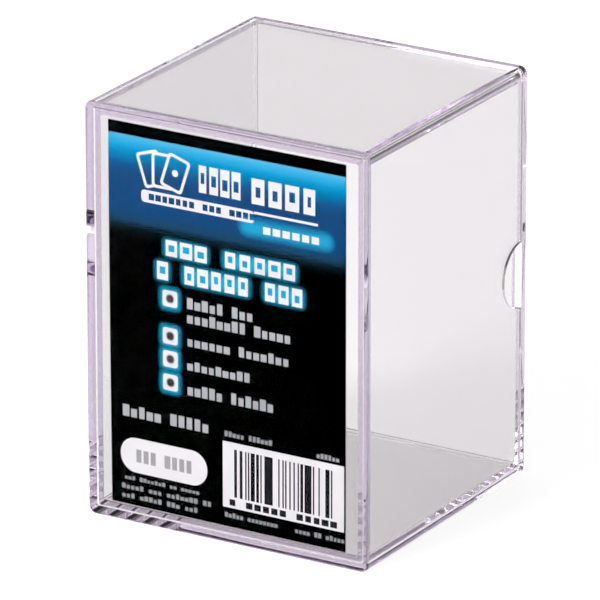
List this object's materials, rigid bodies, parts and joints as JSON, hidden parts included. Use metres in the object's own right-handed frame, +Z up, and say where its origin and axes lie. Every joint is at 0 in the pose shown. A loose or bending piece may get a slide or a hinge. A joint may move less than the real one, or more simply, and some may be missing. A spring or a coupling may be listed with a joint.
{
  "type": "two-piece card storage box",
  "caption": "Clear hard-plastic card box of two nesting halves that slide apart, with half-round thumb notches in the sides of the mouth and a printed insert behind the front wall.",
  "frame": {"origin": "centre of the closed box's underside", "axes": "+Z up, -Y out of the front wall with the printed insert, +Y the way the inner half slides out, +X to the right seen from the front"},
  "size_m": [0.0734, 0.0712, 0.0988],
  "materials": {
    "clear_plastic": "clear moulded polystyrene with a faint violet tint, polished",
    "printed_board": "coated card, black with a blue band and white print"
  },
  "bodies": {
    "outer": {"outer_half": "clear_plastic"},
    "inner": {"inner_half": "clear_plastic"},
    "insert": {"printed_insert": "printed_board"}
  },
  "joints": [
    {"name": "inner_slide", "type": "slide", "parent": "outer", "child": "inner", "axis": [0, 1, 0], "range_m": [0, 0.08]},
    {"name": "insert_slide", "type": "slide", "parent": "outer", "child": "insert", "axis": [0, 1, 0], "range_m": [0, 0.066]}
  ]
}
